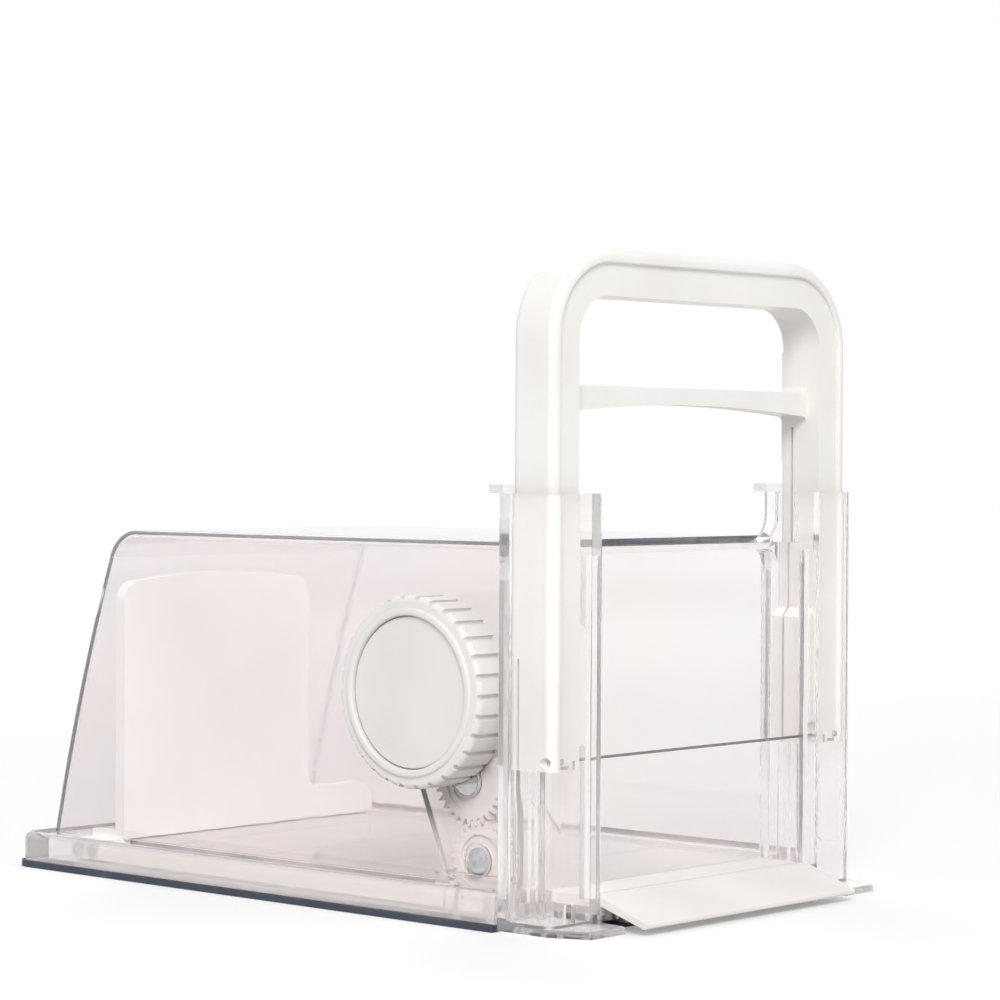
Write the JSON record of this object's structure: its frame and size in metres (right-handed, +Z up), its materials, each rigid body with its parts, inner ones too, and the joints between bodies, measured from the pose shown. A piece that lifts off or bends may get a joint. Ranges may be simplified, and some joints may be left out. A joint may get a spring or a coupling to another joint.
{
  "type": "wire butter slicer",
  "caption": "Countertop wire slicer for a block of butter or cheese: clear hood and frame, white pull handle with a cutting wire, and a knob that feeds the block.",
  "frame": {"origin": "on the table, in the middle plane between the two columns, straight below the cutting wire", "axes": "+Z up, +X the way the block is fed and the slices leave, -Y the side with the knob"},
  "size_m": [0.2375, 0.1481, 0.186],
  "materials": {
    "clear_plastic": "clear moulded plastic",
    "white_plastic": "smooth white moulded plastic",
    "knob_plastic": "smooth off-white moulded plastic",
    "gear_plastic": "translucent moulded plastic",
    "foot_rubber": "dark blue-grey rubber",
    "steel": "zinc-plated steel",
    "wire_steel": "drawn stainless steel"
  },
  "bodies": {
    "base": {"base_tray": "clear_plastic", "foot_mat": "foot_rubber", "cutting_board": "white_plastic", "guide_frame": "clear_plastic", "base_screws": "steel", "gear_housing": "clear_plastic", "housing_screws": "steel", "gear_cover": "clear_plastic", "cover_screws": "steel", "lower_idler_pin": "steel", "upper_idler_pin": "steel"},
    "hood": {"hood": "clear_plastic"},
    "pusher": {"pusher_plate": "white_plastic", "rack": "white_plastic", "rack_screws": "steel"},
    "lower_idler": {"lower_idler_gear": "gear_plastic"},
    "upper_idler": {"upper_idler_gear": "gear_plastic"},
    "knob": {"knob": "knob_plastic", "knob_cap": "knob_plastic", "knob_screw": "steel", "drive_gear": "gear_plastic"},
    "handle": {"handle_frame": "white_plastic", "cutting_wire": "wire_steel", "wire_ferrules": "steel", "wire_set_screws": "steel"}
  },
  "joints": [
    {"name": "handle_slide", "type": "slide", "parent": "base", "child": "handle", "axis": [0, 0, 1], "range_m": [-0.037, 0.045]},
    {"name": "pusher_slide", "type": "slide", "parent": "base", "child": "pusher", "axis": [1, 0, 0], "range_m": [0, 0.145]},
    {"name": "lower_idler_spin", "type": "hinge", "parent": "base", "child": "lower_idler", "pos_m": [-0.0268, -0.0609, 0.0178], "axis": [0, -1, 0], "range_deg": [0, 799.3]},
    {"name": "upper_idler_spin", "type": "hinge", "parent": "base", "child": "upper_idler", "pos_m": [-0.0312, -0.0609, 0.03976], "axis": [0, -1, 0], "range_deg": [-692.8, 0]},
    {"name": "knob_spin", "type": "hinge", "parent": "base", "child": "knob", "pos_m": [-0.0418, -0.0609, 0.06394], "axis": [0, -1, 0], "range_deg": [0, 577.4]},
    {"name": "hood_lift", "type": "slide", "parent": "base", "child": "hood", "axis": [0, 0, 1], "range_m": [0, 0.12]}
  ],
  "couplings": [
    {"joint": "lower_idler_spin", "follows": "pusher_slide", "rad_per_m": 96.154},
    {"joint": "upper_idler_spin", "follows": "pusher_slide", "rad_per_m": -83.333},
    {"joint": "knob_spin", "follows": "pusher_slide", "rad_per_m": 69.444}
  ]
}
